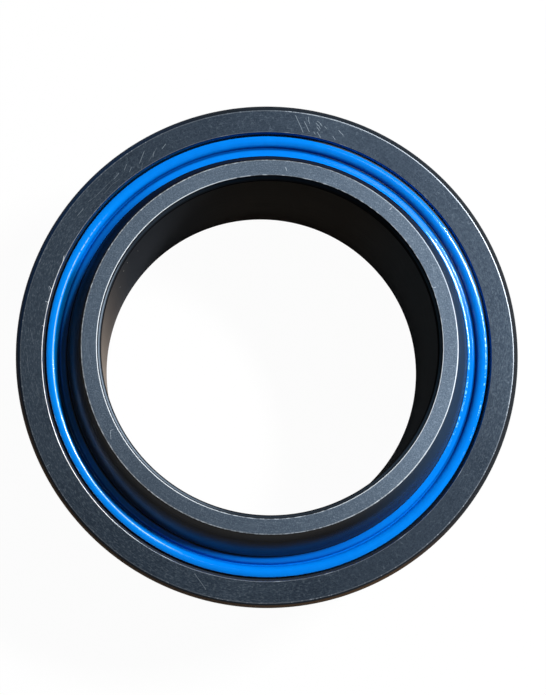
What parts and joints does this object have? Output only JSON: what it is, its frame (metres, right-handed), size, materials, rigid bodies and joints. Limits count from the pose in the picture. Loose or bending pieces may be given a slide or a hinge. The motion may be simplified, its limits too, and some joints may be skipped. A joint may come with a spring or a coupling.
{
  "type": "spherical plain bearing",
  "caption": "Sealed radial spherical plain bearing: an outer ring with blue lip seals tilts and turns on a wider inner ring with a plain bore.",
  "frame": {"origin": "centre of the sphere, on the bore axis halfway along the inner ring", "axes": "+Z along the bore axis towards the front end face; the outer ring has tipped about +X, low side towards -Y"},
  "size_m": [0.12, 0.123, 0.055],
  "materials": {
    "inner_ring": "ground grey end faces, polished dark sphere, ground bore",
    "outer_ring": "dark blue-grey phosphated steel with fine scratches",
    "seal_front": "glossy blue polyurethane",
    "seal_rear": "glossy blue polyurethane"
  },
  "bodies": {
    "inner_ring": {"inner_ring": "inner_ring"},
    "seals": {"seal_front": "seal_front", "seal_rear": "seal_rear"},
    "outer_ring": {"outer_ring": "outer_ring"}
  },
  "joints": [
    {"name": "tilt", "type": "hinge", "parent": "inner_ring", "child": "seals", "pos_m": [0, 0, 0], "axis": [1, 0, 0], "range_deg": [-10.91, 1.09]},
    {"name": "spin", "type": "hinge", "parent": "seals", "child": "outer_ring", "pos_m": [0, 0, 0], "axis": [0, -0.0857, 0.9963], "continuous": true}
  ]
}
